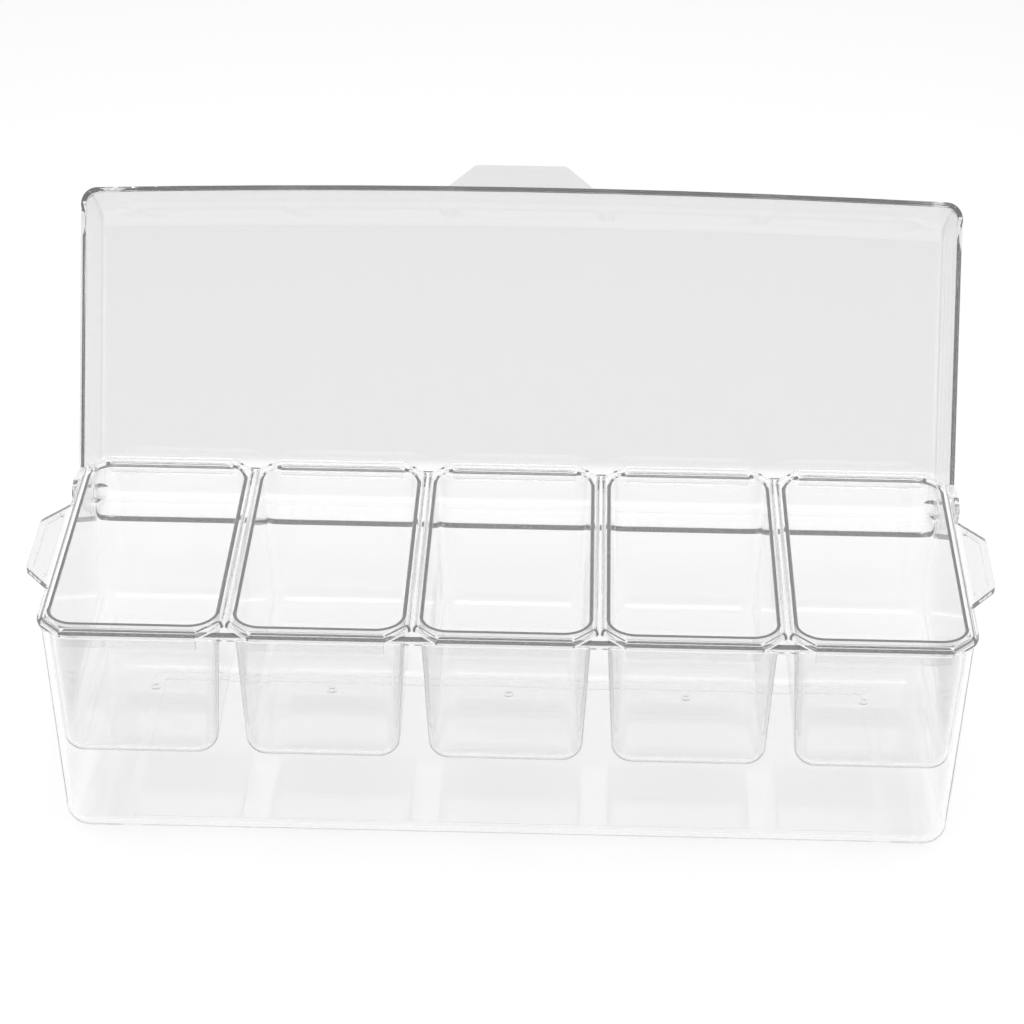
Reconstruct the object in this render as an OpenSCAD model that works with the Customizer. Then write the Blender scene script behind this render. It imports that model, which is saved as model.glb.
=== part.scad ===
// Chilled condiment server in clear plastic: a deep ice tub with a hinged dome lid and
// a row of lift-out trays that hang by their rims on the rim of the tub.
// Millimetres, X along the row, front towards -Y, Z up. The origin is the centre of the
// foot, on the surface that the tub stands on. The lid is drawn open, at its stop.

/* [Trays] */
// Width of one tray over its rim
tray_w = 75.2; // [60:0.2:90]
// Length of one tray over its front and rear lips
tray_l = 141; // [120:1:170]
// Depth of one tray from rim top to underside
tray_deep = 68; // [50:1:80]
// Gap between neighbouring tray rims
tray_gap = 0.8; // [0.4:0.1:2]
// Wall of a tray
tray_wall = 1.6; // [1.2:0.1:2.4]
// Floor of a tray
tray_floor = 1.8; // [1.4:0.1:3]
// Draft of the tray walls in degrees
tray_draft = 3; // [1:0.25:4]
// Round of the tray body's upright edges at the rim
tray_corner_r = 12; // [11:0.5:14]
// Round between the tray's walls and its floor
tray_edge_r = 7; // [3:0.5:7]
// Rim of the tray beyond its body at the sides
tray_rim_out = 2.4; // [1.6:0.1:4]
// Height of the tray rim over the tub rim
tray_rim_t = 3; // [2.6:0.1:4]
// Thickness of the top of that hollow rim
flange_t = 1.8; // [1.4:0.1:2.2]
// Round of the tray's mouth into the rim
mouth_r = 1.6; // [0.6:0.1:2]
// Round along the top of the tray rim
tray_rim_r = 2.4; // [1:0.1:2.4]
// Cut across each corner of the tray rim
tray_chamfer = 9.6; // [6:0.2:12]
// Height of the turned-down lip, from rim top to its lower edge
lip_h = 8.2; // [6:0.2:12]
// Thickness of the lip
lip_t = 1.7; // [1.2:0.1:2.4]
// Distance of the moulding gate forward of the tray's middle
gate_forward = 10; // [0:1:20]

/* [Tub] */
// Height of the tub from its foot to the top of its rim
tub_h = 105.5; // [95:0.5:130]
// Wall of the tub
tub_wall = 2.4; // [1.8:0.1:3.2]
// Floor of the tub
tub_floor = 2.4; // [2:0.1:4]
// Draft of the tub walls in degrees
tub_draft = 2.45; // [1:0.05:2.6]
// Rim of the tub beyond its wall
rim_out = 1.2; // [0.8:0.1:2]
// Thickness of the tub rim
rim_t = 1.8; // [1.8:0.1:5]
// Round along the top of the tub rim
rim_r = 1.4; // [0.6:0.1:1.8]
// Round of the upright edges, at the rim
rim_corner_r = 16; // [15.5:0.5:16.5]
// Round between the tub's walls and its floor
tub_edge_r = 9.2; // [4:0.2:9.2]
// Tub rim that shows beyond the end trays
end_margin = 1.9; // [1:0.1:4]
// Height of the foot ring
foot_h = 0.8; // [0.6:0.1:2]
// Width of the foot ring
foot_w = 5; // [3:0.5:8]
// Foot ring in from the tub's ends
foot_in_x = 22.8; // [10:0.2:40]
// Foot ring in from the tub's front and rear
foot_in_y = 7.3; // [7:0.1:15]

/* [Handles and tab] */
// Length of a handle at the tub
handle_l = 63; // [50:1:80]
// Length of a handle's outer edge
handle_tip_l = 37; // [20:1:48]
// Reach of a handle beyond the tub rim
handle_reach = 10.4; // [8:0.2:18]
// Length of the lid's tab at the lid
tab_l = 64; // [50:1:80]
// Length of the tab's outer edge
tab_tip_l = 40; // [20:1:48]
// Reach of the tab beyond the lid's front
tab_reach = 9.4; // [7:0.2:16]
// Thickness of the handles and the tab
grip_t = 2.8; // [2.4:0.1:2.8]
// Round of their corners
grip_corner_r = 4; // [3:0.1:5]
// Width of the bead along their edges
bead_w = 2.8; // [1.6:0.1:3.2]
// Height of that bead over the web inside it, on both faces
bead_h = 0.7; // [0.3:0.1:0.8]

/* [Lid] */
// Height of the lid over its rim
lid_h = 25; // [25:0.5:40]
// Wall of the lid
lid_wall = 2.2; // [1.8:0.1:3]
// Straight band above the lid's rim
lid_band = 3; // [2:0.5:5]
// Bow of the lid's front edge
lid_bow = 3.6; // [1:0.2:8]
// Radius of the lid's curved front
lid_front_r = 22; // [16:0.5:22]
// Lean of the lid's side walls
lid_side_lean = 5; // [2:0.5:10]
// Lean of the lid's rear wall
lid_rear_lean = 8; // [2:0.5:14]
// Round between the side walls and the top
lid_side_r = 3; // [2.6:0.2:8]
// Round between the rear wall and the top
lid_rear_r = 8; // [4:0.5:10]
// Round of the lid's corners in plan
lid_corner_r = 7.4; // [4:0.2:10]

/* [Hinge] */
// Diameter of the hinge pins
pin_d = 5; // [3:0.5:8]
// Pin end beyond the ear
pin_proud = 0.8; // [0.4:0.1:3]
// Diameter of the shoulder behind each ear
shoulder_d = 9; // [7:0.5:11]
// Radius of the ear round the pin
ear_r = 6; // [5:0.5:9]
// Length of the ear along the lid's rim
ear_l = 20; // [14:1:40]
// Ear in from the lid's rear edge
ear_in = 3; // [2:0.5:8]
// Pin in from the closed lid's rear edge
hinge_in = 12.9; // [11:0.1:16]
// Pin below the closed lid's rim
hinge_drop = 12; // [10:0.5:16]

/* [Fits] */
// Between a tray's lip and the tub rim
lip_play = 0.3; // [0.2:0.05:1]
// Between a tray's body and the tub wall, at the rim
body_play = 0.5; // [0.3:0.1:2]
// Between the closed lid's rim and the tub rim
lid_seat_play = 0.3; // [0.2:0.05:1]
// Between the lid's side walls and the tub rim
lid_side_play = 1.3; // [0.5:0.1:4]
// Between the lid's rear wall and the tray lips
lid_rear_play = 1.7; // [1.4:0.1:4]
// Between the lid's front corners and the tray lips
lid_front_play = 0.3; // [0.3:0.1:4]
// Between the open lid's rear edge and the tub wall
stop_play = 0.3; // [0.2:0.05:1]
// Between pin and ear, on the radius
pin_play = 0.1; // [0.05:0.01:0.1]
// Between shoulder and ear
ear_play = 0.3; // [0.2:0.05:0.8]

/* [Hidden] */
TRAYS = 5;
SMOOTH = 96; // segments of every full circle
$fn = SMOOTH;
CLEAR = [0.84, 0.88, 0.9, 0.45];
OVER = 1; // how far a cut runs past the face that it opens
LAP = 0.002; // overlap of a rounding arc with the slanting side that it joins
CROSS = 0.004; // height at which one form crosses another instead of only touching it

tray_pitch = tray_w + tray_gap;
tray_z = tub_h - tray_deep + tray_rim_t;
tray_top = tub_h + tray_rim_t;
gate_d = 4.2;
gate_core_d = 2.4;
gate_t = 0.4;
lip_edge_r = 0.8;
groove_r = 0.7;
web_gap = 1; // solid strip between the web and the rim that the grip grows from

tub_w = TRAYS * tray_pitch - tray_gap + 2 * end_margin;
tub_d = tray_l - 2 * (lip_t + lip_play);
tub_foot_w = tub_w - 2 * (rim_out + (tub_h - foot_h) * tan(tub_draft));
tub_foot_d = tub_d - 2 * (rim_out + (tub_h - foot_h) * tan(tub_draft));
foot_corner_r = 3;

body_w = tray_w - 2 * tray_rim_out;
body_l = tub_d - 2 * (rim_out + tub_wall + body_play);
lip_l = tray_w - 2 * tray_chamfer - 2 * lip_edge_r;

lid_z = tub_h + lid_seat_play;
lid_w = tub_w + 2 * (lid_side_play + lid_wall);
lid_rear = tray_l / 2 + lid_rear_play + lid_wall;
lid_front = tray_l / 2 + lid_front_play + lid_wall;
bow_r = round((pow(lid_w / 2, 2) + pow(lid_bow, 2)) / (2 * lid_bow));
BOW_FN = 2880; // segments of the whole circle that the bow is a short stretch of

hinge_y = lid_rear - hinge_in;
hinge_z = lid_z - hinge_drop;
// The lid opens until its rear edge meets the drafted rear wall of the tub.
edge_arm = norm([hinge_in, hinge_drop]);
edge_angle = atan2(hinge_drop, hinge_in);
wall_y = tub_d / 2 - rim_out - (tub_h - hinge_z) * tan(tub_draft);
open_angle = edge_angle + tub_draft
    + acos((stop_play + (wall_y - hinge_y) * cos(tub_draft)) / edge_arm);

echo(hinge = [hinge_y, hinge_z], open_angle = open_angle, tub = [tub_w, tub_d, tub_h]);

function unit(v) = v / norm(v);
function half_angle(a, b, c) = acos(unit(a - b) * unit(c - b)) / 2;
function towards(b, to, length) = b + unit(to - b) * length;
function setback(a, b, c, r) = r / tan(half_angle(a, b, c));
function round_centre(a, b, c, r) = b + unit(unit(a - b) + unit(c - b)) * r / sin(half_angle(a, b, c));
function is_level(a, b) = a.x == b.x || a.y == b.y;
function shift(a, b, c) =
    is_level(a, b) && is_level(b, c) ? [0, 0] : LAP * unit(b - (is_level(a, b) ? a : c));
// Where the arc in the corner b starts, on the side towards n, which is a or c
function arc_end(a, b, c, r, n) =
    towards(b, n, setback(a, b, c, r)) + (is_level(b, n) ? shift(a, b, c) : [0, 0]);
// The corner of the arc's sector there: on a slanting side it lies outside the side
function sector_end(a, b, c, r, n) =
    let (end = arc_end(a, b, c, r, n), centre = round_centre(a, b, c, r))
    is_level(b, n) ? end : end + (end - centre) / 2 + unit(n - b) * 3 * sqrt(2 * r * LAP);
function before(points, i) = points[(i + len(points) - 1) % len(points)];
function after(points, i) = points[(i + 1) % len(points)];
function heading(a, b) = atan2(b.y - a.y, b.x - a.x);
function rectangle(w, d) = [[-w / 2, -d / 2], [w / 2, -d / 2], [w / 2, d / 2], [-w / 2, d / 2]];
// Where a line from p touches the circle of radius r round c; side is 1 or -1
function touch(p, c, r, side) =
    let (to = heading(c, p) + side * acos(r / norm(p - c))) c + r * [cos(to), sin(to)];

// A polygon whose outward corners are rounded by true arcs, one radius per corner. On a
// slanting side the arc is set LAP too far out, so that it crosses the side there.
module rounded_polygon(points, radii) {
    polygon([
        for (i = [0 : len(points) - 1])
            let (a = before(points, i), b = points[i], c = after(points, i), r = radii[i])
            each r > 0 ? [arc_end(a, b, c, r, a), arc_end(a, b, c, r, c)] : [b]
    ]);
    for (i = [0 : len(points) - 1])
        if (radii[i] > 0) {
            a = before(points, i);
            b = points[i];
            c = after(points, i);
            r = radii[i];
            centre = round_centre(a, b, c, r) + shift(a, b, c);
            intersection() {
                translate(centre) circle(r);
                polygon([
                    centre, sector_end(a, b, c, r, a), b + (b - centre) / 2,
                    sector_end(a, b, c, r, c)
                ]);
            }
        }
}

// Centres of the corner rounds of a convex outline that runs anticlockwise
function outline_bones(outline, r) = [
    for (i = [0 : len(outline) - 1])
        round_centre(before(outline, i), outline[i], after(outline, i), r)
];

// A ring of the same section all round an outline with those centres. The child is the
// section, x outwards from them.
module ring(bones) {
    for (i = [0 : len(bones) - 1]) {
        a = bones[i];
        b = after(bones, i);
        arrive = heading(before(bones, i), a);
        leave = heading(a, b);
        translate(a)
            rotate(arrive - 90)
                rotate_extrude(angle = (leave - arrive + 360) % 360) children();
        translate(b)
            rotate(leave)
                rotate([90, 0, -90]) linear_extrude(norm(b - a)) children();
    }
}

// A solid with the same edge all round a convex outline. The child is the half profile
// of that edge, and low and high are its ends at x = 0.
module edged_solid(outline, r, low, high) {
    bones = outline_bones(outline, r);
    ring(bones) children();
    translate([0, 0, low]) linear_extrude(high - low) polygon(bones);
}

// Half profile of a drafted wall: r at the height top, an arc of radius edge at the foot
module wall_profile(r, top, bottom, draft, edge, height) {
    foot = r - (top - bottom) * tan(draft);
    crest = r + (height - top) * tan(draft);
    rounded_polygon([[0, bottom], [foot, bottom], [crest, height], [0, height]], [0, edge, 0, 0]);
}

// Half profile of a flat plate with a rounded top edge
module plate_profile(r, low, high, edge) {
    rounded_polygon([[0, low], [r, low], [r, high], [0, high]], [0, 0, edge, 0]);
}

// A tapered grip that reaches out along +X, with a thin web inside its bead
module grip_plate(root_l, tip_l, reach, root) {
    lean = (root_l - tip_l) / 2 / reach;
    wide = root_l / 2 + root * lean;
    web_tip = reach - bead_w;
    web_root_l = root_l - 2 * bead_w * norm([1, lean]);
    web_tip_l = web_root_l - 2 * lean * web_tip;
    web_r = grip_corner_r - bead_w;
    difference() {
        linear_extrude(grip_t)
            rounded_polygon(
                [[-root, -wide], [reach, -tip_l / 2], [reach, tip_l / 2], [-root, wide]],
                [0, grip_corner_r, grip_corner_r, 0]
            );
        for (z = [-OVER, grip_t - bead_h])
            translate([0, 0, z])
                linear_extrude(OVER + bead_h)
                    rounded_polygon(
                        [
                            [web_gap, -web_root_l / 2], [web_tip, -web_tip_l / 2],
                            [web_tip, web_tip_l / 2], [web_gap, web_root_l / 2]
                        ],
                        [for (i = [1 : 4]) web_r]
                    );
    }
}

module tub() {
    root = rim_out + tub_wall / 2;
    pin_root = tub_w / 2 - rim_corner_r;
    shoulder_end = lid_w / 2 - lid_wall - ear_play;
    color(CLEAR) {
        difference() {
            union() {
                edged_solid(rectangle(tub_w, tub_d), rim_corner_r, foot_h, tub_h - OVER)
                    wall_profile(rim_corner_r - rim_out, tub_h, foot_h, tub_draft, tub_edge_r,
                                 tub_h - OVER);
                edged_solid(rectangle(tub_w, tub_d), rim_corner_r, tub_h - rim_t, tub_h)
                    plate_profile(rim_corner_r, tub_h - rim_t, tub_h, rim_r);
                for (side = [0, 1])
                    mirror([side, 0, 0]) {
                        translate([tub_w / 2, 0, tub_h - grip_t])
                            grip_plate(handle_l, handle_tip_l, handle_reach, root);
                        // From inside the round corner, where the hollow cuts them off
                        translate([pin_root, hinge_y, hinge_z])
                            rotate([0, 90, 0]) {
                                cylinder(d = shoulder_d, h = shoulder_end - pin_root);
                                cylinder(d = pin_d, h = lid_w / 2 + pin_proud - pin_root);
                            }
                    }
            }
            edged_solid(rectangle(tub_w, tub_d), rim_corner_r, foot_h + tub_floor, tub_h + OVER)
                wall_profile(rim_corner_r - rim_out - tub_wall, tub_h, foot_h + tub_floor, tub_draft,
                             tub_edge_r - tub_wall, tub_h + OVER);
        }
        linear_extrude(foot_h + tub_floor / 2)
            difference() {
                rounded_polygon(
                    rectangle(tub_foot_w - 2 * foot_in_x, tub_foot_d - 2 * foot_in_y),
                    [for (i = [1 : 4]) foot_corner_r]
                );
                square([
                    tub_foot_w - 2 * (foot_in_x + foot_w),
                    tub_foot_d - 2 * (foot_in_y + foot_w)
                ], center = true);
            }
    }
}

// The dome of the lid as a closed form, in by the distance inset on every side. Four
// views of it cross, and only the curved front's has its top and bottom at the lid's own.
module lid_form(inset, low) {
    top = lid_h - inset;
    high = top + CROSS;
    rear = lid_rear - inset;
    half = lid_w / 2 - inset;
    front = lid_front - inset;
    far = tub_w;
    intersection() {
        // Curved front, which follows the bow of the front edge
        translate([0, bow_r - lid_front - lid_bow, 0])
            rotate(-90 - 3)
                rotate_extrude(angle = 6, $fn = BOW_FN)
                    rounded_polygon([
                        [bow_r - far, low], [bow_r - inset, low],
                        [bow_r - inset, top], [bow_r - far, top]
                    ], [0, 0, lid_front_r - inset, 0], $fn = SMOOTH);
        // Rear wall, seen from the end
        rotate([90, 0, 90])
            linear_extrude(2 * far, center = true)
                rounded_polygon([
                    [-far, low - OVER], [rear, low - OVER], [rear, lid_band],
                    [rear - lid_rear_lean, high], [-far, high]
                ], [0, 0, 0, lid_rear_r - inset, 0]);
        // Leaning side walls, seen from the front
        rotate([90, 0, 0])
            linear_extrude(2 * far, center = true)
                rounded_polygon([
                    [-half, low - OVER], [half, low - OVER], [half, lid_band],
                    [half - lid_side_lean, high], [lid_side_lean - half, high], [-half, lid_band]
                ], [0, 0, 0, lid_side_r - inset, lid_side_r - inset, 0]);
        // Rounded corners, seen from above
        translate([0, 0, low - OVER])
            linear_extrude(high - low + 2 * OVER)
                rounded_polygon([
                    [-half - CROSS, -front], [0, -front - 2 * lid_bow], [half + CROSS, -front],
                    [half + CROSS, rear + CROSS], [-half - CROSS, rear + CROSS]
                ], [for (r = [1, 0, 1, 1, 1]) r * (lid_corner_r - inset)]);
    }
}

// Ear of the lid, seen from the end, down from the rim to the knuckle round the pin
module ear_outline() {
    knuckle = [hinge_y, -hinge_drop];
    rear_root = [lid_rear - ear_in, 0];
    front_root = rear_root - [ear_l, 0];
    difference() {
        union() {
            translate(knuckle) circle(ear_r + LAP);
            polygon([
                front_root, touch(front_root, knuckle, ear_r, 1),
                touch(rear_root, knuckle, ear_r, -1), rear_root,
                rear_root + [0, lid_band], front_root + [0, lid_band]
            ]);
        }
        translate(knuckle) circle(pin_d / 2 + pin_play);
    }
}

module lid() {
    color(CLEAR)
        translate([0, hinge_y, hinge_z])
            rotate([-open_angle, 0, 0])
                translate([0, -hinge_y, hinge_drop]) {
                    difference() {
                        union() {
                            lid_form(0, 0);
                            translate([0, -lid_front - lid_bow, 0])
                                rotate(-90)
                                    grip_plate(tab_l, tab_tip_l, tab_reach, lid_wall / 2);
                        }
                        lid_form(lid_wall, -OVER);
                    }
                    for (side = [-1, 1])
                        translate([side * (lid_w - lid_wall) / 2, 0, 0])
                            rotate([90, 0, 90])
                                linear_extrude(lid_wall, center = true) ear_outline();
                }
}

// Plate over the outline of the rim, in by the distance inset on every side and with
// its top edge rounded all round. It is what bars at four angles have in common.
module rim_plate(inset, low, high, edge) {
    across = (tray_w + tray_l - 2 * tray_chamfer) / sqrt(2);
    intersection_for (bar = [[0, tray_w], [90, tray_l], [45, across], [-45, across]])
        rotate([90, 0, bar[0]])
            linear_extrude(2 * tray_l, center = true) {
                half = bar[1] / 2 - inset;
                rounded_polygon([[-half, low], [half, low], [half, high], [-half, high]],
                                [0, 0, edge, edge]);
            }
}

// Section of what rounds the mouth of the tray. The arc crosses the wall and the rim's
// top by CROSS.
module mouth_section() {
    low = tray_top - mouth_r;
    centre = tray_corner_r - tray_wall + (low - tub_h) * tan(tray_draft) + mouth_r - CROSS;
    difference() {
        translate([centre - 2 * mouth_r, low]) square([2 * mouth_r, mouth_r + OVER]);
        translate([centre, low + CROSS]) circle(mouth_r);
    }
}

module tray(place) {
    l = tray_l / 2;
    body = rectangle(body_w, body_l);
    color(CLEAR)
        translate([(place - (TRAYS + 1) / 2) * tray_pitch, 0, 0]) {
            difference() {
                union() {
                    edged_solid(body, tray_corner_r, tray_z, tray_top - OVER)
                        wall_profile(tray_corner_r, tub_h, tray_z, tray_draft, tray_edge_r,
                                     tray_top - OVER);
                    difference() {
                        rim_plate(0, tub_h, tray_top, tray_rim_r);
                        rim_plate(lip_t, tub_h - OVER, tray_top - flange_t, groove_r);
                    }
                    for (side = [0, 1])
                        mirror([0, side, 0])
                            rotate([90, 0, 90])
                                linear_extrude(lip_l, center = true)
                                    rounded_polygon([
                                        [l - lip_t, tray_top - lip_h], [l, tray_top - lip_h],
                                        [l, tray_top - tray_rim_r], [l - lip_t, tray_top - tray_rim_r]
                                    ], [0, lip_edge_r, 0, 0]);
                    translate([0, -gate_forward, tray_z - gate_t])
                        cylinder(d = gate_d, h = gate_t + tray_floor / 2);
                }
                edged_solid(body, tray_corner_r, tray_z + tray_floor, tray_top + OVER)
                    wall_profile(tray_corner_r - tray_wall, tub_h, tray_z + tray_floor, tray_draft,
                                 tray_edge_r - tray_wall, tray_top + OVER);
                ring(outline_bones(body, tray_corner_r)) mouth_section();
                translate([0, -gate_forward, tray_z - gate_t - OVER])
                    cylinder(d = gate_core_d, h = gate_t + OVER);
            }
        }
}

tub();
lid();
tray(1);  // tray_1
tray(2);  // tray_2
tray(3);  // tray_3
tray(4);  // tray_4
tray(5);  // tray_5
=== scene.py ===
"""Look of the clear plastic condiment caddy: materials, floor, light and camera."""

import math

import bpy
from mathutils import Matrix, Vector

MM = 0.001

# Camera, from a fit of the part's corners and edges to the photograph.
IMAGE_PX = 1024
FOCAL_PX = 2925.6
CAMERA_AT_MM = (28.75, -1041.96, 764.85)
YAW, PITCH, ROLL = (math.radians(a) for a in (-1.5467, -31.5165, 0.3686))
SENSOR_WIDTH = 36

# Brightness of the room that the plastic reflects and bends: by the height of a
# direction (0 is level, 1 straight up), and by its depth (-1 is towards the camera).
ROOM_BY_HEIGHT = ((0.0, 0.9), (0.2, 1.1), (0.4, 1.0), (1.0, 0.9))
ROOM_BY_DEPTH = ((-1.0, 0.3), (-0.75, 0.4), (-0.4, 0.95), (1.0, 1.1))
EVEN_LIGHT = 0.55

# Floor, in metres. The lift is light that only the picture's own rays see.
FLOOR_SIZE = 60
FLOOR_GREYS = (0.885, 0.9)
FLOOR_LIFT = 0.28

# Share of light that a wall of each piece lets through. Painted shade: the lid is greyer above
# its hinge, and the handles beyond the tub's walls, to meet the greys seen there.
TUB_TINT, HANDLE_SHADE_TINT, HANDLE_SHADE_START = 0.98, 0.86, 0.19
LID_REAR_TINT, LID_SHADE_TINT, LID_SHADE_START = 1.0, 0.82, 0.088
TRAY_TINT = 0.97
TINT_TO_SHADE_BLEND = 0.003
TRAYS = 5

PLASTIC_IOR = 1.5
# Roughness goes from the first to the second as the smudges' noise goes from low to high.
SMUDGE_NOISE, SMUDGE_ROUGHNESS = (0.35, 0.75), (0.004, 0.02)
# Light that fills a shadow loses this little at each surface.
SHADOW_PASS = 0.955
# A ray of more bounces than this ends as this emitted grey: painted shade, which stands in
# for the light such a ray would still gather and draws dark lines in thick plastic.
SPENT_BOUNCES, SPENT_SHADE_GREY = 12.5, 0.2
BOUNCES, GLOSSY_BOUNCES, TRANSPARENT_BOUNCES = 36, 12, 48

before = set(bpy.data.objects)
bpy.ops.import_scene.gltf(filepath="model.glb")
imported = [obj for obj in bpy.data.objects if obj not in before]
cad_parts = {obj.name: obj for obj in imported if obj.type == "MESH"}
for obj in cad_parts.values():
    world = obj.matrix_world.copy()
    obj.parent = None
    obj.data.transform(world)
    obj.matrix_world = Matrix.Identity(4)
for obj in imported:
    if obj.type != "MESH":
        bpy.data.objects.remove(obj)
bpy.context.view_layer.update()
scene = bpy.context.scene


def grey(level):
    """The opaque colour of that grey level."""
    return (level, level, level, 1.0)


def new_material(name):
    """A material and its node tree, which is empty."""
    material = bpy.data.materials.new(name)
    material.use_nodes = True
    material.node_tree.nodes.clear()
    return material, material.node_tree


def add(tree, kind, **values):
    """A node of that kind, with its attributes or sockets set by name."""
    node = tree.nodes.new(kind)
    for key, value in values.items():
        if key in node.inputs:
            node.inputs[key].default_value = value
        else:
            setattr(node, key, value)
    return node


def maths(tree, operation, first, second):
    """A Math node of two values, each a number or a socket to link."""
    node = add(tree, "ShaderNodeMath", operation=operation)
    for socket, value in zip(node.inputs, (first, second)):
        if isinstance(value, (int, float)):
            socket.default_value = value
        else:
            tree.links.new(value, socket)
    return node.outputs[0]


def spread(tree, value, given, wanted):
    """A socket's value, moved from one pair of low and high numbers to another."""
    node = add(tree, "ShaderNodeMapRange")
    for name, pair in (("From", given), ("To", wanted)):
        node.inputs[f"{name} Min"].default_value, node.inputs[f"{name} Max"].default_value = pair
    tree.links.new(value, node.inputs["Value"])
    return node.outputs[0]


def mix_shaders(tree, share, first, second):
    """Two shaders, mixed by a share of the second."""
    node = add(tree, "ShaderNodeMixShader")
    for socket, value in zip(node.inputs, (share, first, second)):
        tree.links.new(value, socket)
    return node.outputs[0]


def seen_ray(tree):
    """1 for a ray that shows in the picture, directly or through gloss or clear plastic."""
    path = add(tree, "ShaderNodeLightPath").outputs
    gloss = maths(tree, "MAXIMUM", path["Is Glossy Ray"], path["Is Transmission Ray"])
    return maths(tree, "MAXIMUM", path["Is Camera Ray"], gloss)


def smudges(tree, place):
    """Roughness of a surface with soft smudges."""
    noise = add(tree, "ShaderNodeTexNoise", Scale=26.0, Detail=5.0, Roughness=0.6)
    tree.links.new(place, noise.inputs["Vector"])
    return spread(tree, noise.outputs[0], SMUDGE_NOISE, SMUDGE_ROUGHNESS)


def relief(tree, place, flow, seed):
    """Normal of a surface with faint flow lines and fine scratches."""
    link = tree.links.new
    flow_map = add(tree, "ShaderNodeMapping", Scale=flow, Location=(seed, seed / 3, 0))
    link(place, flow_map.inputs["Vector"])
    ripples = add(tree, "ShaderNodeTexNoise", Scale=14.0, Detail=3.0, Roughness=0.45)
    link(flow_map.outputs[0], ripples.inputs["Vector"])

    scratch_map = add(tree, "ShaderNodeMapping", Scale=(1.0, 0.05, 0.4),
                      Rotation=(0.0, 0.3, 0.7))
    link(place, scratch_map.inputs["Vector"])
    scratch = add(tree, "ShaderNodeTexNoise", Scale=900.0, Detail=2.0)
    link(scratch_map.outputs[0], scratch.inputs["Vector"])

    wave = add(tree, "ShaderNodeBump", Strength=0.1, Distance=0.0012)
    link(ripples.outputs[0], wave.inputs["Height"])
    fine = add(tree, "ShaderNodeBump", Strength=0.015, Distance=0.00005)
    link(scratch.outputs[0], fine.inputs["Height"])
    link(wave.outputs[0], fine.inputs["Normal"])
    return fine.outputs[0]


def tint_then_painted_shade(tree, place, axis, start, tint_and_shade):
    """The first tint up to start along an axis, on both sides of 0, and then the second, greyer
    one as painted shade.
    """
    along = add(tree, "ShaderNodeSeparateXYZ")
    tree.links.new(place, along.inputs[0])
    mirrored = maths(tree, "MULTIPLY", along.outputs[axis], -1.0)
    reach = maths(tree, "MAXIMUM", along.outputs[axis], mirrored)
    return spread(tree, reach, (start, start + TINT_TO_SHADE_BLEND), tint_and_shade)


def light_rules(tree, surface):
    """That shader, but clear to light that fills shadows, and an emitted grey of painted shade
    to rays run long inside.
    """
    path = add(tree, "ShaderNodeLightPath").outputs
    lighting = maths(tree, "MAXIMUM", path["Is Shadow Ray"], path["Is Diffuse Ray"])
    through = add(tree, "ShaderNodeBsdfTransparent", Color=grey(SHADOW_PASS))
    lit = mix_shaders(tree, lighting, surface, through.outputs[0])
    # Painted shade: rays past the bounce limit glow a flat dark grey.
    deep = maths(tree, "GREATER_THAN", path["Ray Depth"], SPENT_BOUNCES)
    painted_shade_glow = add(tree, "ShaderNodeEmission", Color=grey(SPENT_SHADE_GREY))
    return mix_shaders(tree, deep, lit, painted_shade_glow.outputs[0])


def clear_plastic(name, flow, seed, tint, axis=None, start=0.0, far_shade_tint=1.0):
    """Injection-moulded clear plastic.

    flow stretches the flow lines along an axis, seed makes each piece its own, and tint is
    what one wall lets through. With an axis, a second tint takes over beyond start along it:
    a greyer tint of painted shade on part of the same plastic.
    """
    material, tree = new_material(name)
    link = tree.links.new
    place = add(tree, "ShaderNodeTexCoord").outputs["Object"]
    surface = add(tree, "ShaderNodeBsdfPrincipled", IOR=PLASTIC_IOR)
    surface.inputs["Transmission Weight"].default_value = 1.0
    if axis:
        tint_and_shade = tint_then_painted_shade(tree, place, axis, start, (tint, far_shade_tint))
        link(tint_and_shade, surface.inputs["Base Color"])
    else:
        surface.inputs["Base Color"].default_value = grey(tint)
    link(smudges(tree, place), surface.inputs["Roughness"])
    link(relief(tree, place, flow, seed), surface.inputs["Normal"])
    output = add(tree, "ShaderNodeOutputMaterial")
    link(light_rules(tree, surface.outputs[0]), output.inputs["Surface"])
    return material


def dress(node, material):
    """Gives a CAD node that material and no other."""
    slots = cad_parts[node].data.materials
    slots.clear()
    slots.append(material)


def dress_caddy():
    """Clear plastic for the tub, the lid and each tray."""
    # The tub's handles and the lid above its hinge get painted shade: a greyer tint than the
    # rest.
    dress("tub", clear_plastic("tub_plastic", (0.3, 1.0, 2.0), 3.1,
                               TUB_TINT, "X", HANDLE_SHADE_START, HANDLE_SHADE_TINT))
    dress("lid", clear_plastic("lid_plastic", (2.0, 0.5, 0.3), 7.7,
                               LID_REAR_TINT, "Z", LID_SHADE_START, LID_SHADE_TINT))
    for number in range(1, TRAYS + 1):
        seed = 11.0 + 5 * number
        dress(f"tray_{number}",
              clear_plastic(f"tray_{number}_plastic", (1.5, 0.4, 1.5), seed, TRAY_TINT))


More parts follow.
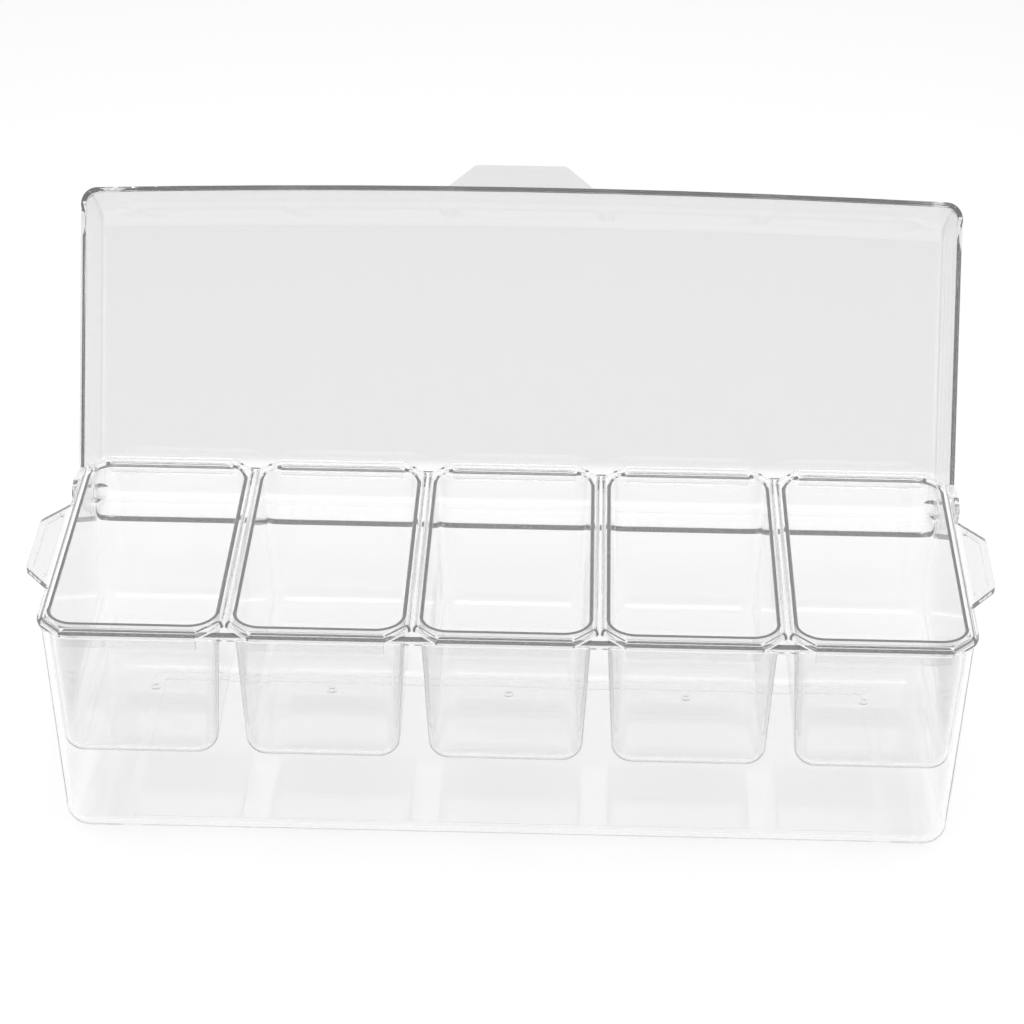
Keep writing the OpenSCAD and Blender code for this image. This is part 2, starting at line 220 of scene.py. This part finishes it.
def build_floor():
    """A pale floor, white away from the caddy, that keeps its soft shadow."""
    bpy.ops.mesh.primitive_plane_add(size=FLOOR_SIZE)
    floor = bpy.context.object
    floor.name = "floor"
    material, tree = new_material("pale_floor")
    link = tree.links.new
    cloud = add(tree, "ShaderNodeTexNoise", Scale=3.0, Detail=2.0)
    tone = add(tree, "ShaderNodeValToRGB")
    for stop, level in zip(tone.color_ramp.elements, FLOOR_GREYS):
        stop.color = grey(level)
    link(cloud.outputs[0], tone.inputs[0])
    matt = add(tree, "ShaderNodeBsdfDiffuse")
    link(tone.outputs[0], matt.inputs["Color"])
    lift = add(tree, "ShaderNodeEmission")
    link(maths(tree, "MULTIPLY", seen_ray(tree), FLOOR_LIFT), lift.inputs["Strength"])
    both = add(tree, "ShaderNodeAddShader")
    link(matt.outputs[0], both.inputs[0])
    link(lift.outputs[0], both.inputs[1])
    link(both.outputs[0], add(tree, "ShaderNodeOutputMaterial").inputs["Surface"])
    floor.data.materials.append(material)


def grey_ramp(tree, value, stops, low=0):
    """A grey level looked up from stops of (value, grey), for values from low to 1."""
    ramp = add(tree, "ShaderNodeFloatCurve")
    curve = ramp.mapping.curves[0]
    ramp.mapping.extend = "HORIZONTAL"
    points = [((at - low) / (1 - low), level) for at, level in stops]
    curve.points[0].location, curve.points[1].location = points[0], points[-1]
    for at in points[1:-1]:
        curve.points.new(*at)
    for point in curve.points:
        point.handle_type = "VECTOR"
    ramp.mapping.update()
    tree.links.new(spread(tree, value, (low, 1), (0, 1)), ramp.inputs["Value"])
    return ramp.outputs[0]


def build_world():
    """Even light on the floor, and a room of greys for what shows in or through plastic."""
    world = bpy.data.worlds.new("studio")
    world.use_nodes = True
    scene.world = world
    tree = world.node_tree
    tree.nodes.clear()
    link = tree.links.new
    even = add(tree, "ShaderNodeBackground", Color=grey(1), Strength=EVEN_LIGHT)

    place = add(tree, "ShaderNodeTexCoord").outputs["Generated"]
    split = add(tree, "ShaderNodeSeparateXYZ")
    link(place, split.inputs[0])
    height = grey_ramp(tree, split.outputs["Z"], ROOM_BY_HEIGHT)
    depth = grey_ramp(tree, split.outputs["Y"], ROOM_BY_DEPTH, -1)
    room = add(tree, "ShaderNodeBackground", Color=grey(1))
    link(maths(tree, "MULTIPLY", height, depth), room.inputs["Strength"])

    light = mix_shaders(tree, seen_ray(tree), even.outputs[0], room.outputs[0])
    link(light, add(tree, "ShaderNodeOutputWorld").inputs["Surface"])


def softbox(name, at, aim, size, power):
    """A large soft area lamp at one point, aimed at another, in metres and watts."""
    light = bpy.data.lights.new(name, "AREA")
    light.shape = "RECTANGLE"
    light.size, light.size_y = size
    light.energy = power
    lamp = bpy.data.objects.new(name, light)
    scene.collection.objects.link(lamp)
    lamp.location = at
    lamp.rotation_euler = (Vector(aim) - Vector(at)).to_track_quat("-Z", "Y").to_euler()


def build_lamps():
    """A wide box over the caddy, and a small one low at each side."""
    softbox("overhead", (0, 0.1, 1.6), (0, 0.1, 0), (1.5, 0.8), 9)
    for name, side in (("left", -1), ("right", 1)):
        softbox(name, (side * 1.3, -0.6, 0.35), (0, 0, 0.15), (0.5, 0.4), 2)


def build_camera():
    """The photograph's view point."""
    forward = Vector((math.sin(YAW) * math.cos(PITCH), math.cos(YAW) * math.cos(PITCH),
                      math.sin(PITCH)))
    level = Vector((math.cos(YAW), -math.sin(YAW), 0))
    upright = level.cross(forward)
    right = math.cos(ROLL) * level + math.sin(ROLL) * upright
    up = math.cos(ROLL) * upright - math.sin(ROLL) * level
    lens = bpy.data.cameras.new("camera")
    lens.sensor_width = SENSOR_WIDTH
    lens.lens = FOCAL_PX / IMAGE_PX * SENSOR_WIDTH
    camera = bpy.data.objects.new("camera", lens)
    scene.collection.objects.link(camera)
    turn = Matrix((right, up, -forward)).transposed().to_4x4()
    camera.matrix_world = Matrix.Translation(Vector(CAMERA_AT_MM) * MM) @ turn
    scene.camera = camera


build_camera()
build_floor()
build_world()
build_lamps()
dress_caddy()

scene.view_settings.view_transform = "Standard"
scene.cycles.max_bounces = BOUNCES
scene.cycles.transmission_bounces = BOUNCES
scene.cycles.glossy_bounces = GLOSSY_BOUNCES
scene.cycles.transparent_max_bounces = TRANSPARENT_BOUNCES
